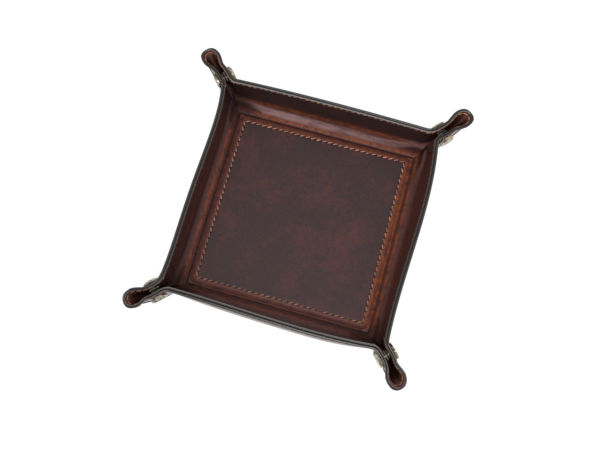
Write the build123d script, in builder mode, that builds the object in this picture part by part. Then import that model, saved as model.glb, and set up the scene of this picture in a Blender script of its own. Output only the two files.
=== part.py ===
from build123d import *
import os
from math import cos, radians, sin, sqrt, tan

# Leather valet tray with four snapped corners. Millimetres, +Z up, and the origin is the
# middle of the underside. One sheet of inner leather and one of outer leather are glued and
# sewn together round a stiffener board. The sheets are cut here where they bend, so that
# every panel, bend and ear can move as it does when the corners are unsnapped.

# Sheets
inner_leather = 1.8
outer_leather = 1.8
glue_line = 0.05
board_thickness = 2.0

# Base
stitch_square = 130.0
board_border = 1.5
shoulder_width = 3.5
shoulder_height = 0.3
crease_border = 7.5
fold_strip_width = 2.5

# Wall, from the crease at its foot to the rim
band_start_angle = 42.0
wall_angle = 84.0
band_radius = 18.8
hinge_outset = 2.1
hinge_rise = 1.05
opening_angle = 70.0
opening_cuts = 4
opening_clearance = 0.15

# Ears: the corner of the sheet folded outwards into a loop
ear_slope = 38.7
rim_fall_angle = 5.8
foot_gap = 0.6
neck_gap = 1.3
foot_bend_radius = 0.6
neck_bend_radius = 8.0
foot_loop_radius = 0.7
foot_loop_run = 1.56
neck_loop_run = 1.91
tip_loop_radius = 4.2
loop_flare = 0.5
tip_flare = 12.0
leg_foot_width = 0.3
bend_clearance = 0.1

# Stitching
stitch_pitch = 4.5
stitch_length = 3.3
stitch_width = 0.8
stitch_rise = 0.4
rim_stitch_inset = 2.0
stitch_slant = 9.0
stitch_clearance = 0.02

# Snaps
snap_drop = 7.7
snap_fold_margin = 4.07
snap_wall_tuck = 4.4
cap_diameter = 13.5
cap_thickness = 2.0
cap_edge = 0.7
cap_seat_clearance = 0.75
post_step = 0.5
post_thickness = 1.2
post_ring_width = 1.6
post_ring_depth = 0.5
shank_diameter = 3.2
shank_bore = 1.6
shank_clearance = 0.15
socket_step = 1.5
socket_thickness = 1.5
socket_floor = 0.2
socket_bore = 4.8
socket_round = 0.4
stud_step = 2.25
stud_flange = 0.6
knob_diameter = 4.0
knob_length = 1.45
knob_round = 0.4

# Worked out from the sizes above
sheet = inner_leather + glue_line + outer_leather
panel_half = stitch_square / 2 + board_border
crease_half = stitch_square / 2 + crease_border
base_half = crease_half - fold_strip_width
panel_top = outer_leather + board_thickness + inner_leather
band_centre_out = crease_half - band_radius * sin(radians(band_start_angle))
band_centre_up = sheet + band_radius * cos(radians(band_start_angle))
slope = radians(ear_slope)
quarter_turn = 90
half_corner = quarter_turn / 4
diagonal = sqrt(2)
halvings = 40
cap_radius = cap_diameter / 2
post_radius = cap_radius - post_step
socket_radius = cap_radius - socket_step
stud_radius = cap_radius - stud_step

sides = ["north", "west", "south", "east"]
inner_faces = (0, inner_leather)
outer_faces = (inner_leather + glue_line, sheet)
layers = [("inner", inner_faces), ("outer", outer_faces)]


def wall_out(depth, height):
    """Distance of a face of the wall from the tray's middle, depth into the sheet from the inside."""
    radius = band_radius + depth
    join_up = band_centre_up - radius * cos(radians(wall_angle))
    join_out = band_centre_out + radius * sin(radians(wall_angle))
    if height >= join_up:
        return join_out + (height - join_up) / tan(radians(wall_angle))
    return band_centre_out + sqrt(radius**2 - (height - band_centre_up) ** 2)


def seam_out(height):
    """Distance along the corner's diagonal of the ear's underside fold, on the inside face."""
    return diagonal * crease_half + (height - sheet) / tan(slope)


def height_where(room, needed):
    """The level at which a room that widens upwards is as wide as needed."""
    low, high = sheet, crease_half
    for _ in range(halvings):
        middle = (low + high) / 2
        if room(middle) < needed:
            low = middle
        else:
            high = middle
    return high


def ear_level(gap, outer_bend, loop, run):
    """The level at which the ear has room for its bend, its leg and its loop."""
    bend = (outer_bend + sheet) * tan(radians(half_corner))

    def room(height):
        return seam_out(height) - loop / sin(slope) - diagonal * wall_out(0, height) + gap

    return height_where(room, bend + leg_foot_width + run)


def snap_room(height):
    """Along the diagonal, from the wall's outside to the ear's underside fold."""
    return seam_out(height) - diagonal * wall_out(sheet, height)


# The ear starts where the folded sheet has room for it. The snap sits where the ear is wide
# enough for it, with the loop opening above it, and the rim is a set distance higher.
foot_height = ear_level(foot_gap, foot_bend_radius, foot_loop_radius, foot_loop_run)
neck_height = ear_level(neck_gap, neck_bend_radius, neck_gap, neck_loop_run)
cap_reach = cap_radius - snap_wall_tuck
snap_up = height_where(snap_room, (socket_radius + snap_fold_margin) / sin(slope) + cap_reach)
loop_height = snap_up
rim_height = snap_up + snap_drop


def between(height, low, high, low_value, high_value):
    share = (height - low) / (high - low)
    return low_value + share * (high_value - low_value)


def ear_gap(height):
    """Half of the space between the ear's two legs."""
    if height >= neck_height:
        return neck_gap
    return between(height, foot_height, neck_height, foot_gap, neck_gap)


def bend_radius(height):
    """Radius on the outside face, where the wall turns into the ear's leg."""
    if height >= neck_height:
        return neck_bend_radius
    return between(height, foot_height, neck_height, foot_bend_radius, neck_bend_radius)


def loop_radius(height):
    if height >= loop_height:
        return between(height, loop_height, rim_height, neck_gap, tip_loop_radius)
    if height >= neck_height:
        return neck_gap
    return between(height, foot_height, neck_height, foot_loop_radius, neck_gap)


def corner_point(along, across):
    """A point by its distance along the north-east diagonal and to the left of it."""
    return ((along - across) / diagonal, (along + across) / diagonal)


def bend_start(depth, height):
    """Where the wall's straight face ends, at its east end."""
    radius = bend_radius(height) + sheet - depth
    out = wall_out(depth, height)
    across = out - diagonal * (ear_gap(height) + depth)
    return (across - radius * tan(radians(half_corner)), out)


def bend_middle(depth, height):
    radius = bend_radius(height) + sheet - depth
    start = bend_start(depth, height)
    turn = radians(half_corner)
    return (start[0] + radius * sin(turn), start[1] + radius * (1 - cos(turn)))


def leg_start(depth, height):
    """Distance along the diagonal at which a face of the leg becomes straight."""
    radius = bend_radius(height) + sheet - depth
    gap = ear_gap(height) + depth
    return diagonal * wall_out(depth, height) - gap + radius * tan(radians(half_corner))


def loop_centre(height):
    return seam_out(height) - loop_radius(height) / sin(slope)


def leg_end(height):
    """Distance along the diagonal at which the leg starts to flare into the loop."""
    if height <= neck_height:
        return leg_start(0, height) + leg_foot_width
    flare = loop_flare
    if height > loop_height:
        flare = between(height, loop_height, rim_height, loop_flare, tip_flare)
    return loop_centre(height) - flare


def bend_outline(faces, height):
    """The bent corner of the wall, cut level, between two faces of the sheet."""
    near, far = faces
    near_end = corner_point(leg_start(near, height), ear_gap(height) + near)
    far_end = corner_point(leg_start(far, height), ear_gap(height) + far)
    ThreePointArc(bend_start(near, height), bend_middle(near, height), near_end)
    Line(near_end, far_end)
    ThreePointArc(far_end, bend_middle(far, height), bend_start(far, height))
    Line(bend_start(far, height), bend_start(near, height))


def leg_outline(faces, height):
    near, far = faces
    gap = ear_gap(height)
    far_start = leg_start(far, height) + bend_clearance
    near_start = leg_start(near, height) + bend_clearance
    Polyline(
        corner_point(near_start, gap + near),
        corner_point(leg_end(height), gap + near),
        corner_point(leg_end(height), gap + far),
        corner_point(far_start, gap + far),
        close=True,
    )


def loop_outline(faces, height):
    """Half of the ear's loop, from the leg to the diagonal."""
    near, far = faces
    gap, centre = ear_gap(height), loop_centre(height)
    start = leg_end(height) + bend_clearance
    outwards = (1, 1)
    for depth in faces:
        radius = loop_radius(height) + depth
        Spline(
            corner_point(start, gap + depth),
            corner_point(centre, radius),
            tangents=(outwards, outwards),
        )
        EllipticalCenterArc(
            corner_point(centre, 0),
            radius / sin(slope),
            radius,
            start_angle=0,
            arc_size=quarter_turn,
            rotation=quarter_turn / 2,
        )
    near_tip = centre + (loop_radius(height) + near) / sin(slope)
    far_tip = centre + (loop_radius(height) + far) / sin(slope)
    Line(corner_point(near_tip, 0), corner_point(far_tip, 0))
    Line(corner_point(start, gap + near), corner_point(start, gap + far))


def level_loft(outline, faces, heights):
    """A piece of the sheet, drawn level by level."""
    with BuildPart() as piece:
        for height in heights:
            with BuildSketch(Plane.XY.offset(height)):
                with BuildLine():
                    outline(faces, height)
                make_face()
        loft(ruled=True)
    return piece.part


# The ear's rim falls away from the wall's rim, and its tip is cut square to the sheet.
rim_corner = diagonal * wall_out(0, rim_height)
fall = radians(rim_fall_angle)
tip_out = (
    rim_height + rim_corner * tan(fall) - sheet + diagonal * crease_half * tan(slope)
) / (tan(slope) + tan(fall))
tip_up = rim_height - (tip_out - rim_corner) * tan(fall)
rim_plane = Plane(
    origin=(*corner_point(rim_corner, 0), rim_height),
    x_dir=(-1, 1, 0),
    z_dir=(sin(fall), sin(fall), diagonal * cos(fall)),
)
tip_plane = Plane(
    origin=(*corner_point(tip_out, 0), tip_up),
    x_dir=(-1, 1, 0),
    z_dir=(cos(slope), cos(slope), diagonal * sin(slope)),
)

# Snap: its axis runs square to the diagonal, through both legs of the ear.
snap_along = diagonal * wall_out(sheet, snap_up) + cap_reach
snap_plane = Plane(
    origin=(*corner_point(snap_along, 0), snap_up), x_dir=(1, 1, 0), z_dir=(-1, 1, 0)
)
leg_inside = neck_gap
leg_outside = neck_gap + sheet


def ear_piece(outline, faces, heights):
    """A piece of the ear, cut along the rim and at the tip."""
    with BuildPart() as piece:
        add(level_loft(outline, faces, heights))
        split(bisect_by=rim_plane, keep=Keep.BOTTOM)
        split(bisect_by=tip_plane, keep=Keep.BOTTOM)
    return piece.part


ear_heights = [foot_height, neck_height, loop_height, rim_height]
leg_heights = [neck_height, loop_height, rim_height]


def leg_piece(faces):
    """The flat leg of the ear, with the hole that the snap's shank goes through."""
    with BuildPart() as piece:
        add(ear_piece(leg_outline, faces, leg_heights))
        with BuildSketch(snap_plane.offset(leg_inside)):
            Circle(shank_diameter / 2 + shank_clearance)
        extrude(amount=sheet, mode=Mode.SUBTRACT)
    return piece.part


def bend_piece(faces):
    return ear_piece(bend_outline, faces, ear_heights)


def loop_piece(faces):
    return ear_piece(loop_outline, faces, ear_heights)


def wall_strip_outline(faces, height):
    """The straight part of the wall, cut level, between its two bends."""
    near, far = faces
    near_end, near_out = bend_start(near, height)
    far_end, far_out = bend_start(far, height)
    Polyline(
        (-near_end + bend_clearance, near_out),
        (near_end - bend_clearance, near_out),
        (far_end - bend_clearance, far_out),
        (-far_end + bend_clearance, far_out),
        close=True,
    )


def band_point(depth, height):
    return (wall_out(depth, height), height)


def crease_point(depth):
    """The wall's lower edge, square to the band where it leaves the crease."""
    turn = radians(band_start_angle)
    return (crease_half + depth * sin(turn), sheet - depth * cos(turn))


def band_piece(faces):
    """The curved foot of the north wall, mitred at both corners."""
    near, far = faces
    section = Plane(origin=(-crease_half * 2, 0, 0), x_dir=(0, 1, 0), z_dir=(1, 0, 0))
    with BuildPart() as piece:
        with BuildSketch(section):
            with BuildLine():
                for depth in faces:
                    low = crease_point(depth)[1]
                    middle = (low + foot_height) / 2
                    ThreePointArc(
                        crease_point(depth),
                        band_point(depth, middle),
                        band_point(depth, foot_height),
                    )
                Line(crease_point(near), crease_point(far))
                Line(band_point(near, foot_height), band_point(far, foot_height))
            make_face()
        extrude(amount=crease_half * 4)
        mitre_sides(bend_clearance / 2)
    return piece.part


def opened_band_piece(faces):
    """The curved foot, cut back at its corners to stay clear of the next wall as both open."""
    line_out, line_up = crease_half + hinge_outset, sheet + hinge_rise
    with BuildPart() as piece:
        add(band_piece(faces))
        for cut in range(opening_cuts):
            turn = radians(opening_angle) * (cut + 1) / opening_cuts
            for way in (1, -1):
                split(
                    bisect_by=Plane(
                        origin=(way * (line_out - opening_clearance), line_out, line_up),
                        x_dir=(0, -sin(turn), cos(turn)),
                        z_dir=(-way, cos(turn), sin(turn)),
                    ),
                    keep=Keep.TOP,
                )
    return piece.part


def foot_corners(faces):
    """What those cuts leave: the corners of the foot, which crumple as the tray opens."""
    with BuildPart() as piece:
        add(band_piece(faces))
        add(opened_band_piece(faces), mode=Mode.SUBTRACT)
    return piece.part


def mitre_sides(clearance):
    """Cuts the piece in hand back to the quarter of the tray that its side owns."""
    for way in (1, -1):
        split(
            bisect_by=Plane(
                origin=(0, clearance * diagonal, 0), x_dir=(0, 0, 1), z_dir=(-way, 1, 0)
            ),
            keep=Keep.TOP,
        )


def fold_strip(faces):
    """The strip that bends between the base and the north wall."""
    near, far = faces
    section = Plane(origin=(-crease_half * 2, 0, 0), x_dir=(0, 1, 0), z_dir=(1, 0, 0))
    start = base_half + bend_clearance
    turn = radians(band_start_angle)
    shift = (-bend_clearance * cos(turn), -bend_clearance * sin(turn))

    def edge(depth):
        out, up = crease_point(depth)
        return (out + shift[0], up + shift[1])

    def flat_end(depth):
        return (crease_half + depth * tan(turn / 2) + shift[0], sheet - depth)

    with BuildPart() as piece:
        with BuildSketch(section):
            with BuildLine():
                Polyline(
                    (start, sheet - near),
                    *([flat_end(near)] if near else []),
                    edge(near),
                    edge(far),
                    flat_end(far),
                    (start, sheet - far),
                    close=True,
                )
            make_face()
        extrude(amount=crease_half * 4)
        mitre_sides(bend_clearance / 2)
    return piece.part


def save(part, name):
    part.label = name
    export_step(part, f"parts/{name}.step")


def turned(part, quarter):
    return part.rotate(Axis.Z, quarter_turn * quarter)


os.makedirs("parts", exist_ok=True)

# Base: outer leather, stiffener board, and the inner leather moulded over the board
with BuildPart() as outer_base:
    with BuildSketch():
        Rectangle(2 * base_half, 2 * base_half)
    extrude(amount=outer_leather)

with BuildPart() as stiffener_board:
    with BuildSketch(Plane.XY.offset(outer_leather)):
        Rectangle(2 * panel_half, 2 * panel_half)
    extrude(amount=board_thickness)

with BuildPart() as inner_base:
    with BuildSketch(Plane.XY.offset(outer_leather + glue_line)):
        Rectangle(2 * base_half, 2 * base_half)
    extrude(amount=inner_leather)
    with BuildSketch(Plane.XY.offset(sheet)):
        Rectangle(2 * base_half, 2 * base_half)
    with BuildSketch(Plane.XY.offset(sheet + shoulder_height)):
        Rectangle(2 * base_half, 2 * base_half)
    loft(ruled=True)
    with BuildSketch(Plane.XY.offset(sheet + shoulder_height)):
        Rectangle(2 * base_half, 2 * base_half)
    with BuildSketch(Plane.XY.offset(panel_top)):
        Rectangle(2 * (base_half - shoulder_width), 2 * (base_half - shoulder_width))
    loft(ruled=True)
    with BuildSketch(Plane.XY.offset(outer_leather)):
        Rectangle(2 * panel_half, 2 * panel_half)
    extrude(amount=board_thickness, mode=Mode.SUBTRACT)

save(outer_base.part, "outer_base")
save(stiffener_board.part, "stiffener_board")
save(inner_base.part, "inner_base")


def stitch(plane, slant):
    """One stitch: a short thread with a rounded back, lying on the plane."""
    with BuildPart() as piece:
        with BuildSketch(plane.offset(stitch_clearance)):
            SlotOverall(stitch_length, stitch_width, rotation=slant)
        extrude(amount=stitch_rise, taper=quarter_turn / 3)
    return piece.part


def stitch_row(plane, half_length, slant):
    """Stitches along the plane's X axis, spaced evenly either side of its origin."""
    count = round(2 * half_length / stitch_pitch)
    pitch = 2 * half_length / count
    one = stitch(plane, slant)
    return [
        one.translate(plane.x_dir * (pitch * (index + 1 / 2) - half_length))
        for index in range(count)
    ]


base_stitches = []
for quarter in range(len(sides)):
    row_plane = Plane(origin=(0, stitch_square / 2, panel_top), x_dir=(1, 0, 0), z_dir=(0, 0, 1))
    for one in stitch_row(row_plane, stitch_square / 2, stitch_slant):
        base_stitches.append(turned(one, quarter))
save(Compound(children=base_stitches), "base_stitching")

# Walls, with their curved foot, and the strips that bend at the crease
wall_heights = [foot_height, neck_height, rim_height]
for layer, faces in layers:
    with BuildPart() as wall:
        add(opened_band_piece(faces))
        add(level_loft(wall_strip_outline, faces, wall_heights))
    for quarter, side in enumerate(sides):
        save(turned(wall.part, quarter), f"{layer}_wall_{side}")

folds = [fold_strip(faces) for _, faces in layers]
bends = [bend_piece(faces) for _, faces in layers]
both_bends = bends + [mirror(bend, about=Plane.YZ) for bend in bends]
both_bends += [corner for _, faces in layers for corner in foot_corners(faces).solids()]
for quarter, side in enumerate(sides):
    save(Compound(children=[turned(fold, quarter) for fold in folds]), f"fold_{side}")
    save(Compound(children=[turned(bend, quarter) for bend in both_bends]), f"corner_bends_{side}")

# Stitching along the top of each wall, on its inside face
stitch_line_up = rim_height - rim_stitch_inset * sin(radians(wall_angle))
rim_row_plane = Plane(
    origin=(0, wall_out(0, stitch_line_up), stitch_line_up),
    x_dir=(1, 0, 0),
    z_dir=(0, -sin(radians(wall_angle)), cos(radians(wall_angle))),
)
rim_row = stitch_row(rim_row_plane, bend_start(0, rim_height)[0] - stitch_pitch / 2, stitch_slant)
for quarter, side in enumerate(sides):
    save(Compound(children=[turned(one, quarter) for one in rim_row]), f"rim_stitching_{side}")

# Ear legs and loops: the left one of each corner belongs to one wall, the right one to the next
legs = [leg_piece(faces) for _, faces in layers]
loops = [loop_piece(faces) for _, faces in layers]
corners = ["north_east", "north_west", "south_west", "south_east"]
diagonal_plane = Plane(origin=(0, 0, 0), x_dir=(0, 0, 1), z_dir=(-1, 1, 0))
for quarter, corner in enumerate(corners):
    left, right = sides[quarter], sides[quarter - 1]
    for side, flip in ((left, False), (right, True)):
        for pieces, kind in ((legs, "ear_leg"), (loops, "ear_loop")):
            placed = [mirror(piece, about=diagonal_plane) if flip else piece for piece in pieces]
            save(
                Compound(children=[turned(p, quarter) for p in placed]),
                f"{kind}_{corner}_{side}",
            )

# Snap: post and stud on the left leg, cap and socket on the right one. Each piece is turned
# from its half section: radius from the snap's axis, then distance from the diagonal.
snap_section = Plane(origin=snap_plane.origin, x_dir=(1, 1, 0), z_dir=(0, 0, 1))
snap_axis = Axis(snap_plane.origin, snap_plane.z_dir)
shank_radius = shank_diameter / 2
cap_seat = leg_outside + cap_seat_clearance


def turned_piece(outline):
    with BuildPart() as piece:
        with BuildSketch(snap_section):
            with BuildLine():
                Polyline(*outline, close=True)
            make_face()
        revolve(axis=snap_axis)
    return piece.part


cap_outline = [
    (0, -leg_outside),
    (shank_bore / 2, -leg_outside),
    (shank_bore / 2, -leg_inside),
    (shank_radius, -leg_inside),
    (shank_radius, -cap_seat),
    (cap_radius, -cap_seat),
    (cap_radius, -cap_seat - cap_edge),
    (cap_radius - cap_thickness + cap_edge, -cap_seat - cap_thickness),
    (0, -cap_seat - cap_thickness),
]
socket_back = -leg_inside
socket_front = -leg_inside + socket_thickness
socket_outline = [
    (0, socket_back),
    (socket_radius, socket_back),
    (socket_radius, socket_front - socket_round),
    (socket_radius - socket_round, socket_front),
    (socket_bore / 2, socket_front),
    (socket_bore / 2, socket_back + socket_floor),
    (0, socket_back + socket_floor),
]
stud_front = leg_inside - stud_flange
knob_end = stud_front - knob_length
knob_radius = knob_diameter / 2
stud_outline = [
    (0, leg_inside),
    (stud_radius, leg_inside),
    (stud_radius, stud_front),
    (knob_radius, stud_front),
    (knob_radius, knob_end + knob_round),
    (knob_radius - knob_round, knob_end),
    (0, knob_end),
]
post_face = cap_seat + post_thickness
ring_inside = post_radius - 2 * post_ring_width
post_outline = [
    (shank_bore / 2, leg_inside),
    (shank_radius, leg_inside),
    (shank_radius, cap_seat),
    (post_radius, cap_seat),
    (post_radius, post_face),
    (post_radius - post_ring_width, post_face),
    (post_radius - post_ring_width, post_face - post_ring_depth),
    (ring_inside, post_face - post_ring_depth),
    (ring_inside, post_face),
    (shank_bore / 2, post_face),
]
snap_outlines = [
    ("snap_cap", cap_outline),
    ("snap_socket", socket_outline),
    ("snap_stud", stud_outline),
    ("snap_post", post_outline),
]
for kind, outline in snap_outlines:
    piece = turned_piece(outline)
    for quarter, corner in enumerate(corners):
        save(turned(piece, quarter), f"{kind}_{corner}")
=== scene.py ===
# %% [markdown]
# # A leather valet tray with snapped corners
# The real tray is one square of dark pull-up leather, lined with a second one, sewn round a
# stiff board and folded up. Each corner is pinched outwards into an ear that a press stud
# holds. It could be modelled by eye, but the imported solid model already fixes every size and
# every moving body, so that comes first, and everything else is fitted to it.

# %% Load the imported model
from math import cos, exp, log, pi, radians, sin, sqrt, tan

import bpy
from mathutils import Matrix, Vector


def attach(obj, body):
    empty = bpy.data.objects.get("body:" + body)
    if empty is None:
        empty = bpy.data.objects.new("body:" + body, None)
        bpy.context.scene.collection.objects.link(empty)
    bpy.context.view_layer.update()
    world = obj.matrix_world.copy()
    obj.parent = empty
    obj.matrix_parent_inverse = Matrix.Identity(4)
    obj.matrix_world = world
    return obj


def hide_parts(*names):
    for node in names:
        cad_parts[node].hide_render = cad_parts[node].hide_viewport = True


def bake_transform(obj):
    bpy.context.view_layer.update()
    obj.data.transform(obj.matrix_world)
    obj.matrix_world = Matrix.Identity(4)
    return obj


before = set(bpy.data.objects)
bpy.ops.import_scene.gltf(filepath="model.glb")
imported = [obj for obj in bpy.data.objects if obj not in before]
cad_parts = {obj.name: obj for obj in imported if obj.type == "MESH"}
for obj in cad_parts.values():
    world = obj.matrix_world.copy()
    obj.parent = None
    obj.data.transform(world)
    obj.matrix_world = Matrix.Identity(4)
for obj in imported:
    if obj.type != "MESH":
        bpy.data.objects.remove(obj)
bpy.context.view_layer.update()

MM = 0.001

# %% [markdown]
# ## The camera
# The photograph looks down on the tray from about 77 degrees, turned 17 degrees to its right.
# A camera can be given by three directions: to its right, up in the picture and back from
# what it looks at. That is easier to fit to a picture than a chain of rotations.

# %% Where the camera stands
camera_azimuth, camera_elevation, camera_roll = radians(17.28), radians(76.9), radians(-1.71)
camera_distance, camera_right, camera_up, panel_level = 576.72, -1.52, -7.21, 5.6

back = Vector(
    (
        sin(camera_azimuth) * cos(camera_elevation),
        -cos(camera_azimuth) * cos(camera_elevation),
        sin(camera_elevation),
    )
)
level = Vector((cos(camera_azimuth), sin(camera_azimuth), 0))
upright = back.cross(level)
picture_right = cos(camera_roll) * level + sin(camera_roll) * upright
picture_up = -sin(camera_roll) * level + cos(camera_roll) * upright
eye = back * camera_distance + picture_right * camera_right + picture_up * camera_up
eye.z += panel_level
print("eye at", [round(value, 1) for value in eye], "mm")

# %% Camera
bpy.ops.object.camera_add()
camera = bpy.context.object
camera.name = "camera"
camera_turn = Matrix((picture_right, picture_up, back)).transposed().to_4x4()
camera.matrix_world = Matrix.Translation(eye * MM) @ camera_turn
camera.data.lens, camera.data.sensor_width = 45, 36
camera.data.clip_start, camera.data.clip_end = 0.01, 20
bpy.context.scene.camera = camera
print("camera at", [round(value, 4) for value in camera.location])

# %% [markdown]
# ## Sizes of the sheet
# Two leathers are glued together, and between them lies the board. At the crease the wall
# sets off at 42 degrees, swells over a wide band and ends at a lean of 84 degrees. All this
# could be measured off the solids' meshes, but sizes that are written down can be read and
# stay exact. They are the solids' own, in millimetres, so that every piece lands in its place.

# %% The two leathers, the board and the walls
inner_leather, outer_leather, glue_line = 1.8, 1.8, 0.05
sheet = inner_leather + glue_line + outer_leather
board_thickness, base_half, crease_half = 2.0, 70.0, 72.5
panel_top = outer_leather + board_thickness + inner_leather
band_start, wall_lean, band_radius = radians(42), radians(84), 18.8
band_centre_out = crease_half - band_radius * sin(band_start)
band_centre_up = sheet + band_radius * cos(band_start)
print("glued sheet", sheet, "mm, top of the panel", panel_top, "mm")


# %% Helper: a wall's place at a level
def wall_out(depth, height):
    """How far out a face of the wall is at a level, depth mm into the sheet from the inside."""
    radius = band_radius + depth
    band_end_up = band_centre_up - radius * cos(wall_lean)
    if height >= band_end_up:
        band_end_out = band_centre_out + radius * sin(wall_lean)
        return band_end_out + (height - band_end_up) / tan(wall_lean)
    return band_centre_out + sqrt(radius**2 - (height - band_centre_up) ** 2)


print("inside of the wall 20 mm up:", round(wall_out(0, 20), 2), "mm out")

# %% [markdown]
# ## Levels of an ear
# A corner of the sheet is folded on its diagonal into a loop, pinched by the press stud. The
# loop's underside climbs along the diagonal. The foot is the level at which the ear first has
# its shape, and the neck the one where its bends have their full size. Written as plain
# numbers, these levels would go wrong as soon as a size changes. They follow from the room
# that the folded sheet needs, so each is searched for by halving a range.

# %% Sizes of an ear and its press stud
diagonal = sqrt(2)
half_corner = radians(22.5)
slope, rim_fall = radians(38.7), radians(5.8)
foot_gap, neck_gap, foot_bend, neck_bend = 0.6, 1.3, 0.6, 8.0
foot_loop, tip_loop, loop_flare, tip_flare, leg_foot = 0.7, 4.2, 0.5, 12.0, 0.3
foot_flare, neck_flare = 1.56, 1.91
cap_radius, cap_tuck, socket_radius, snap_margin, snap_drop = 6.75, 4.4, 5.25, 4.07, 7.7


def seam_out(height):
    """How far along the diagonal the ear's underside fold is, on the inside face."""
    return diagonal * crease_half + (height - sheet) / tan(slope)


print("underside fold 20 mm up:", round(seam_out(20), 2), "mm along the diagonal")


# %% Helper: search a level
def halved(low, high, too_low, times=30):
    """What is left of a range when it is halved again and again towards the place wanted."""
    for _ in range(times):
        middle = (low + high) / 2
        low, high = (middle, high) if too_low(middle) else (low, middle)
    return low, high


def height_where(room, needed):
    """The level at which a room that widens upwards is as wide as needed."""
    return halved(sheet, crease_half, lambda up: room(up) < needed, 40)[1]


def ear_level(gap, bend, loop, flare):
    """The level at which the ear has room for its bend, its leg, its flare and its loop."""
    needed = (bend + sheet) * tan(half_corner) + leg_foot + flare
    return height_where(
        lambda up: seam_out(up) - loop / sin(slope) - diagonal * wall_out(0, up) + gap, needed
    )


# %% Foot, neck, press stud and rim
foot_height = ear_level(foot_gap, foot_bend, foot_loop, foot_flare)
neck_height = ear_level(neck_gap, neck_bend, neck_gap, neck_flare)
snap_up = height_where(
    lambda up: seam_out(up) - diagonal * wall_out(sheet, up),
    (socket_radius + snap_margin) / sin(slope) + cap_radius - cap_tuck,
)
rim_height = snap_up + snap_drop
levels = foot_height, neck_height, snap_up, rim_height
print("foot, neck, snap, rim:", [round(value, 2) for value in levels])

# %% [markdown]
# ## The wall's section
# Seen from its end, the sheet runs flat to the crease, turns up sharply, swells in a band
# and then stands almost upright. A point of the sheet is given by its run, the way along the
# leather past the crease, and its depth below the inside face. At the crease the faces turn
# over a short fan, because thick leather can't be folded to a knife edge. A curve drawn by
# hand would look as good, but arcs and lines keep the leather's length, so that stitches and
# streaks stay where they are along it.

# %% How much leather stands above the crease
band_run = band_radius * (wall_lean - band_start)
join_up = band_centre_up - band_radius * cos(wall_lean)
wall_run = band_run + (rim_height - join_up) / sin(wall_lean)
crease_fan = 1.0
print("sheet above the crease:", round(wall_run, 2), "mm")


# %% Helper: a point of the wall's section
def smooth(share):
    """Eases from 0 to 1 with a soft start and end."""
    share = min(max(share, 0), 1)
    return share * share * (3 - 2 * share)


def profile(run, depth):
    """Out and up of a point of the sheet."""
    turn = band_start + min(max(run, 0), band_run) / band_radius
    out = band_centre_out + band_radius * sin(turn)
    up = band_centre_up - band_radius * cos(turn)
    if run > band_run:
        out += (run - band_run) * cos(turn)
        up += (run - band_run) * sin(turn)
    if run < 0:
        out, up = crease_half + run, sheet
    lean = turn * smooth((run + crease_fan) / (2 * crease_fan))
    return out + depth * sin(lean), up - depth * cos(lean)


def run_at(height):
    """The run at which the inside face is at that level."""
    return halved(0, wall_run, lambda run: profile(run, 0)[1] < height)[0]


ear_start = 5.5
ear_start_run, foot_run = run_at(ear_start), run_at(foot_height)
print("the ears start", round(ear_start_run, 2), "mm past the crease")

# %% [markdown]
# ## The ear's section
# Cut level, half an ear is four lines one after the other: a bend out of the wall, a straight
# leg along the diagonal, a flare, and a quarter of an ellipse round the fold. Each is given by
# a share of its length, so that the sheet's columns stay the same from the foot to the rim.
# Near the foot the same shape shrinks into the corner. A cloth simulation could fold it too,
# but it would bring the leather neither exactly to the press stud nor twice to one place.

# %% How the ear's sizes grow from the foot to the rim
BEND, LEG, FLARE, LOOP = range(4)


def between(height, low, high, low_value, high_value):
    return low_value + (height - low) / (high - low) * (high_value - low_value)


def ear_gap(height):
    """Half the gap between the two legs, on the inside."""
    if height >= neck_height:
        return neck_gap
    return between(height, foot_height, neck_height, foot_gap, neck_gap)


def bend_radius(height, soft):
    """Radius of the bend out of the wall; each corner has its own soft one above the neck."""
    if height >= neck_height:
        return soft
    return between(height, foot_height, neck_height, foot_bend, soft)


def loop_radius(height):
    if height >= snap_up:
        return between(height, snap_up, rim_height, neck_gap, tip_loop)
    if height >= neck_height:
        return neck_gap
    return between(height, foot_height, neck_height, foot_loop, neck_gap)


print("loop's radius at the rim:", round(loop_radius(rim_height), 2), "mm")


# %% Helper: where the leg and the loop begin
def leg_start(depth, height, soft):
    bend = bend_radius(height, soft) + sheet - depth
    return diagonal * wall_out(depth, height) - ear_gap(height) - depth + bend * tan(half_corner)


def loop_centre(height):
    return seam_out(height) - loop_radius(height) / sin(slope)


def leg_end(height):
    if height <= neck_height:
        return leg_start(0, height, bend_radius(height, neck_bend)) + leg_foot
    flare = loop_flare
    if height > snap_up:
        flare = between(height, snap_up, rim_height, loop_flare, tip_flare)
    return loop_centre(height) - flare


print("the leg ends", round(leg_end(rim_height), 2), "mm along the diagonal at the rim")

# %% Helper: a point of the ear's section
flare_ease = 0.66


def ear_section(part, share, depth, height, soft, size=1):
    """Along the diagonal and across it. Below the foot the shape has the given size."""
    if size < 1:
        along, across = ear_section(part, share, depth, foot_height, soft)
        shrunk = size * (along - diagonal * wall_out(depth, foot_height))
        return diagonal * wall_out(depth, height) + shrunk, size * across
    shape = max(height, foot_height)
    gap, radius = ear_gap(shape) + depth, loop_radius(shape) + depth
    if part == BEND:
        bend = bend_radius(shape, soft) + sheet - depth
        out, turn = wall_out(depth, height), 2 * half_corner * share
        x = out - diagonal * gap - bend * tan(half_corner) + bend * sin(turn)
        y = out + bend * (1 - cos(turn))
        return (x + y) / diagonal, (y - x) / diagonal
    if part == LEG:
        start = leg_start(depth, shape, soft)
        return start + share * (leg_end(shape) - start), gap
    if part == FLARE:
        start = leg_end(shape)
        widened = gap + smooth(share**flare_ease) * (radius - gap)
        return start + share * (loop_centre(shape) - start), widened
    turn = pi / 2 * share
    return loop_centre(shape) + radius / sin(slope) * sin(turn), radius * cos(turn)


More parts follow.
